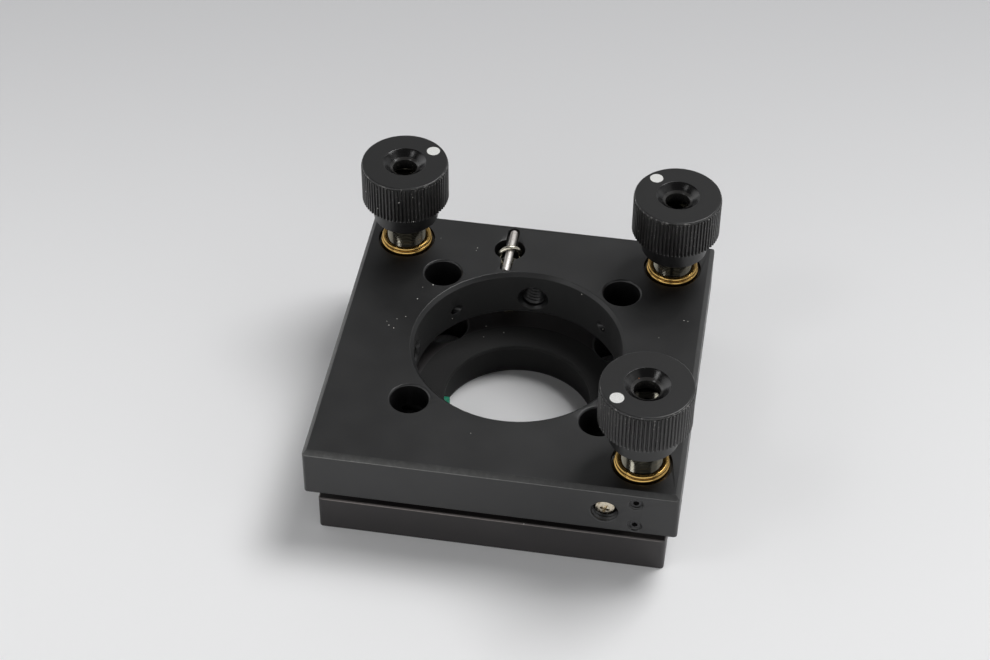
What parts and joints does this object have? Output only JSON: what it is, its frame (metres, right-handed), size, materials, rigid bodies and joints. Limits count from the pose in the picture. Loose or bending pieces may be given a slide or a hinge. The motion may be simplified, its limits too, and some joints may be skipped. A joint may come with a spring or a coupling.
{
  "type": "kinematic mirror mount",
  "caption": "Square two-plate kinematic mount for a round optic, with fluted fine adjusters, brass bushings, spring return and bores for cage rods.",
  "frame": {"origin": "centre of the optic bore on the front plate's outer face, which is also the centre of the bounding box's bottom", "axes": "+Z along the optical axis from the front plate towards the knobs, +Y towards the side that has adjusters A and B, +X towards the side that has adjusters B and C"},
  "size_m": [0.0596, 0.0596, 0.0352],
  "materials": {
    "black_anodized": "satin black anodised aluminium",
    "front_anodized": "matt brownish black anodised aluminium",
    "brass": "turned brass",
    "steel": "ground stainless steel",
    "hardened_steel": "polished hardened steel",
    "black_knob": "satin black anodised aluminium",
    "spring_wire": "drawn spring wire",
    "black_oxide": "black oxide steel",
    "nylon": "green nylon",
    "white_print": "white printed index dot, in the visual only",
    "dust": "specks of dust and lint, in the visual only"
  },
  "bodies": {
    "back": {"back_plate": "black_anodized", "bushing_a": "brass", "bushing_b": "brass", "bushing_c": "brass", "back_pin_1": "steel", "back_pin_2": "steel", "bushing_screws": "black_oxide", "rod_lock_screws": "hardened_steel"},
    "ball_a": {"ball_tip_a": "hardened_steel"},
    "knob_a": {"knob_a": "black_knob", "adjuster_screw_a": "steel"},
    "ball_b": {"ball_tip_b": "hardened_steel"},
    "knob_b": {"knob_b": "black_knob", "adjuster_screw_b": "steel"},
    "ball_c": {"ball_tip_c": "hardened_steel"},
    "knob_c": {"knob_c": "black_knob", "adjuster_screw_c": "steel"},
    "link_1": {"spring_1": "spring_wire"},
    "link_2": {"spring_2": "spring_wire"},
    "front": {"front_plate": "front_anodized", "groove_seat_a": "hardened_steel", "cone_seat_b": "hardened_steel", "flat_seat_c": "hardened_steel", "front_pin_1": "steel", "front_pin_2": "steel"},
    "optic_tip": {"optic_screw_tip": "nylon"},
    "optic_clamp": {"optic_screw": "black_oxide"}
  },
  "joints": [
    {"name": "adjuster_a_travel", "type": "slide", "parent": "back", "child": "ball_a", "axis": [0, 0, -1], "range_m": [-0.00087, 0.00206]},
    {"name": "adjuster_a_turn", "type": "hinge", "parent": "ball_a", "child": "knob_a", "pos_m": [-0.0226, 0.0226, 0.0075], "axis": [0, 0, -1], "range_deg": [-993.96, 2349.36]},
    {"name": "adjuster_b_travel", "type": "slide", "parent": "back", "child": "ball_b", "axis": [0, 0, -1], "range_m": [-0.00143, 0.00079]},
    {"name": "adjuster_b_turn", "type": "hinge", "parent": "ball_b", "child": "knob_b", "pos_m": [0.0226, 0.0226, 0.0075], "axis": [0, 0, -1], "range_deg": [-1626.48, 903.6]},
    {"name": "adjuster_c_travel", "type": "slide", "parent": "back", "child": "ball_c", "axis": [0, 0, -1], "range_m": [-0.00087, 0.00206]},
    {"name": "adjuster_c_turn", "type": "hinge", "parent": "ball_c", "child": "knob_c", "pos_m": [0.0226, -0.0226, 0.0075], "axis": [0, 0, -1], "range_deg": [-993.96, 2349.36]},
    {"name": "plate_tilt_b", "type": "hinge", "parent": "back", "child": "link_1", "pos_m": [0, 0, 0.0075], "axis": [-0.7071, 0.7071, 0], "range_deg": [-2.57, 1.43], "deforming": ["spring_1"]},
    {"name": "plate_tilt_a", "type": "hinge", "parent": "link_1", "child": "link_2", "pos_m": [0.0226, 0, 0.0075], "axis": [0, -1, 0], "range_deg": [-1.11, 2.63], "deforming": ["spring_2"]},
    {"name": "plate_tilt_c", "type": "hinge", "parent": "link_2", "child": "front", "pos_m": [0, 0.0226, 0.0075], "axis": [1, 0, 0], "range_deg": [-1.11, 2.63]},
    {"name": "optic_screw_travel", "type": "slide", "parent": "front", "child": "optic_tip", "axis": [1, 0, 0], "range_m": [-0.00238, 0.00079]},
    {"name": "optic_screw_turn", "type": "hinge", "parent": "optic_tip", "child": "optic_clamp", "pos_m": [-0.0205, 0, 0.0029], "axis": [1, 0, 0], "range_deg": [-1084.32, 361.44]}
  ],
  "couplings": [
    {"joint": "adjuster_a_turn", "follows": "adjuster_a_travel", "rad_per_m": 19790},
    {"joint": "adjuster_b_turn", "follows": "adjuster_b_travel", "rad_per_m": 19790},
    {"joint": "adjuster_c_turn", "follows": "adjuster_c_travel", "rad_per_m": 19790},
    {"joint": "plate_tilt_b", "follows": "adjuster_b_travel", "rad_per_m": 31.288},
    {"joint": "plate_tilt_a", "follows": "adjuster_a_travel", "rad_per_m": 22.124},
    {"joint": "plate_tilt_c", "follows": "adjuster_c_travel", "rad_per_m": 22.124},
    {"joint": "optic_screw_turn", "follows": "optic_screw_travel", "rad_per_m": 7915.8}
  ]
}
